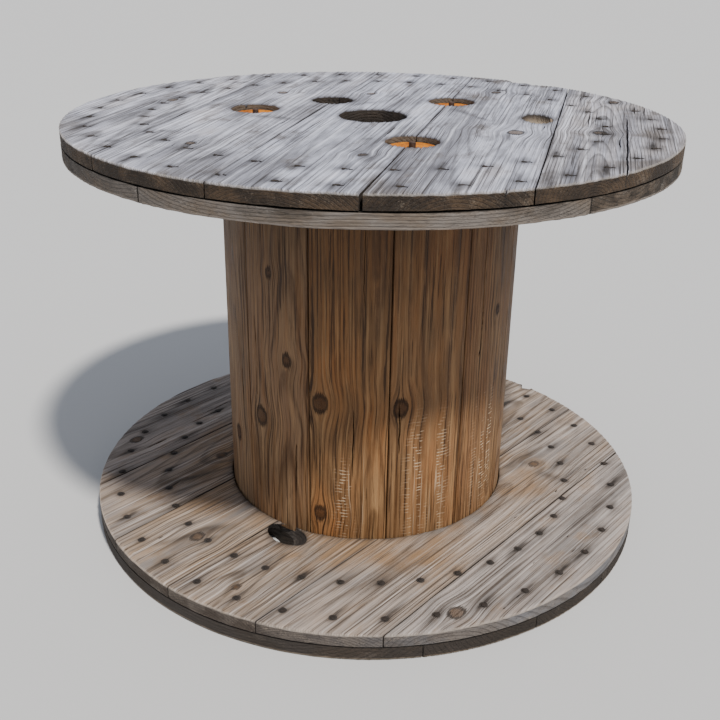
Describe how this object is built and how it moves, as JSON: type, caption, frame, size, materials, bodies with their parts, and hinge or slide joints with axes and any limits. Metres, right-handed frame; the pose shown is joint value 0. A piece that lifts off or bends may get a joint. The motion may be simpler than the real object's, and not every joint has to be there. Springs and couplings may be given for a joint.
{
  "type": "wooden cable drum",
  "caption": "Weathered wooden cable drum: two nailed double-layer board flanges on a stave barrel, clamped by steel tie rods, with a central spindle hole.",
  "frame": {"origin": "centre of the bottom face of the lower flange, on the drum's axis", "axes": "+Z along the drum's axis, upwards, through the spindle hole; +X through the cable hole of the top flange"},
  "size_m": [0.71, 0.71, 0.504],
  "materials": {
    "silvered_wood": "weathered grey, raised grain",
    "rim_wood": "weathered brown-grey",
    "worn_wood": "weathered tan-grey",
    "dark_wood": "dark, dirty",
    "stave_wood": "warm orange-brown, knotty",
    "dark_steel": "dark rusted steel",
    "rusted_steel": "bright orange rust",
    "nail_steel": "dark rusted steel"
  },
  "bodies": {
    "root": {"top_outer_board_1": "silvered_wood", "top_outer_board_2": "silvered_wood", "top_outer_board_3": "silvered_wood", "top_outer_board_4": "silvered_wood", "top_outer_board_5": "silvered_wood", "top_inner_board_1": "rim_wood", "top_inner_board_2": "rim_wood", "top_inner_board_3": "rim_wood", "top_inner_board_4": "rim_wood", "top_inner_board_5": "rim_wood", "top_inner_board_6": "rim_wood", "bottom_inner_board_1": "worn_wood", "bottom_inner_board_2": "worn_wood", "bottom_inner_board_3": "worn_wood", "bottom_inner_board_4": "worn_wood", "bottom_inner_board_5": "worn_wood", "bottom_inner_board_6": "worn_wood", "bottom_outer_board_1": "dark_wood", "bottom_outer_board_2": "dark_wood", "bottom_outer_board_3": "dark_wood", "bottom_outer_board_4": "dark_wood", "bottom_outer_board_5": "dark_wood", "bottom_outer_board_6": "dark_wood", "stave_1": "stave_wood", "stave_2": "stave_wood", "stave_3": "stave_wood", "stave_4": "stave_wood", "stave_5": "stave_wood", "stave_6": "stave_wood", "stave_7": "stave_wood", "stave_8": "stave_wood", "stave_9": "stave_wood", "stave_10": "stave_wood", "stave_11": "stave_wood", "stave_12": "stave_wood", "tie_rod_1": "dark_steel", "tie_rod_2": "dark_steel", "tie_rod_3": "dark_steel", "plate_nut_1": "rusted_steel", "plate_nut_2": "rusted_steel", "plate_nut_3": "rusted_steel", "washer_1": "rusted_steel", "washer_2": "rusted_steel", "washer_3": "rusted_steel", "top_nails_outer_ring": "nail_steel", "top_nails_inner_ring": "nail_steel", "bottom_nails_outer_ring": "nail_steel", "bottom_nails_inner_ring": "nail_steel"}
  },
  "joints": []
}
